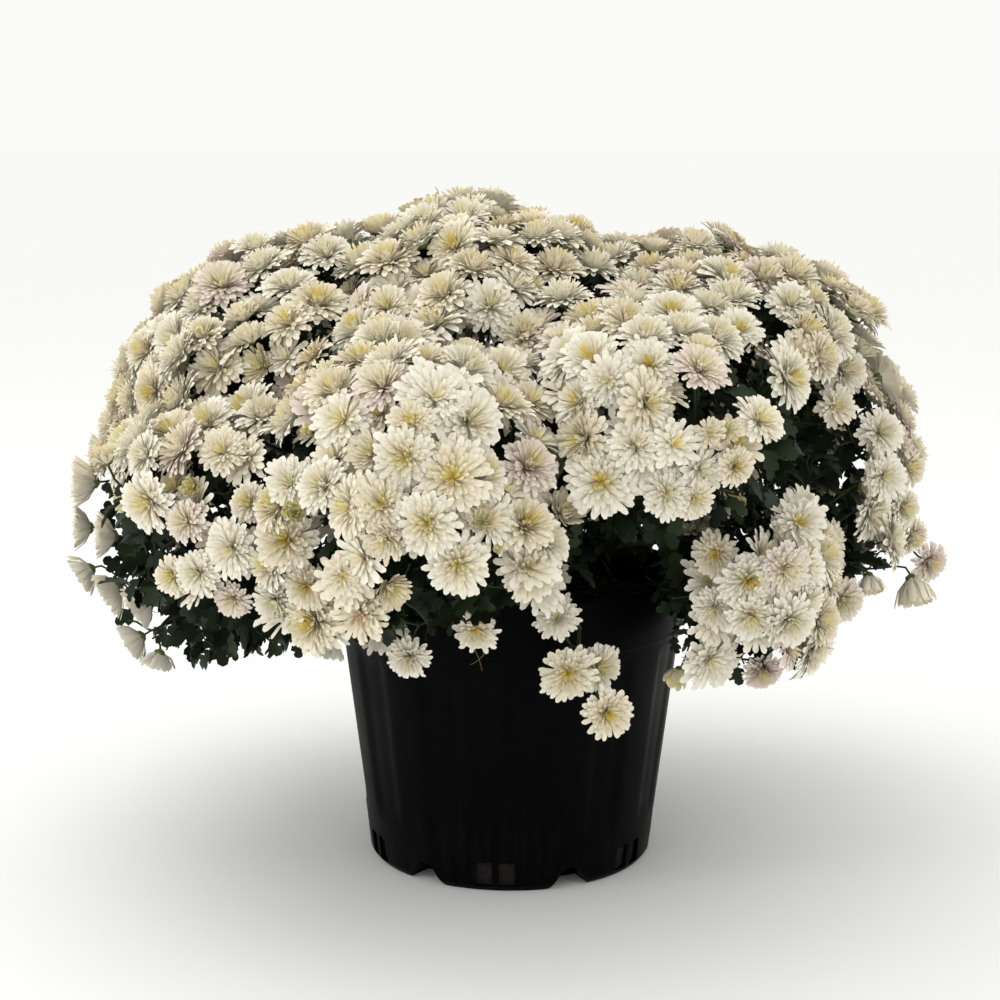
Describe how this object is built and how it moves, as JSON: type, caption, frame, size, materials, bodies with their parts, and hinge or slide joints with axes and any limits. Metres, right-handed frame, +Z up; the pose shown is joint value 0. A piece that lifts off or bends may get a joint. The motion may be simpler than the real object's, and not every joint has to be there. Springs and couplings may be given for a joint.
{
  "type": "potted chrysanthemum",
  "caption": "Potted garden chrysanthemum: a broad drooping dome of cream double blooms over dark lobed leaves, in a black plastic nursery pot with a rim band and drainage notches.",
  "frame": {"origin": "centre of the pot's flat underside, on the surface that it stands on", "axes": "+Z up, -Y towards the front of the plant as pictured, +X to the viewer's right"},
  "size_m": [0.704, 0.6849, 0.5419],
  "materials": {
    "pot_plastic": "black moulded polyethylene, satin, lightly scuffed and dusty",
    "potting_mix": "moist bark and peat crumbs, matt",
    "stem": "ridged woody stem, brown at the foot and green further out, matt",
    "blossom": "cream white petals with lemon centres and a few blush or tan ones, soft matt",
    "foliage": "dark green lobed leaves, slightly waxy"
  },
  "bodies": {
    "root": {"pot": "pot_plastic", "potting_mix": "potting_mix", "main_stem": "stem", "bough_top": "stem", "bough_left_shoulder": "stem", "bough_right_dome": "stem", "bough_front_left": "stem", "bough_front_right": "stem", "bough_left_low": "stem", "bough_right_low": "stem", "bough_right_edge": "stem", "bough_back_left": "stem", "bough_back_right": "stem", "bough_back": "stem", "bough_front_spray": "stem", "crown_top": "blossom", "crown_left_shoulder": "blossom", "crown_right_dome": "blossom", "crown_front_left": "blossom", "crown_front_right": "blossom", "crown_left_low": "blossom", "crown_left_edge": "blossom", "crown_right_low": "blossom", "crown_right_edge": "blossom", "crown_back_left": "blossom", "crown_back_right": "blossom", "crown_back": "blossom", "crown_front_spray": "blossom"}
  },
  "joints": []
}
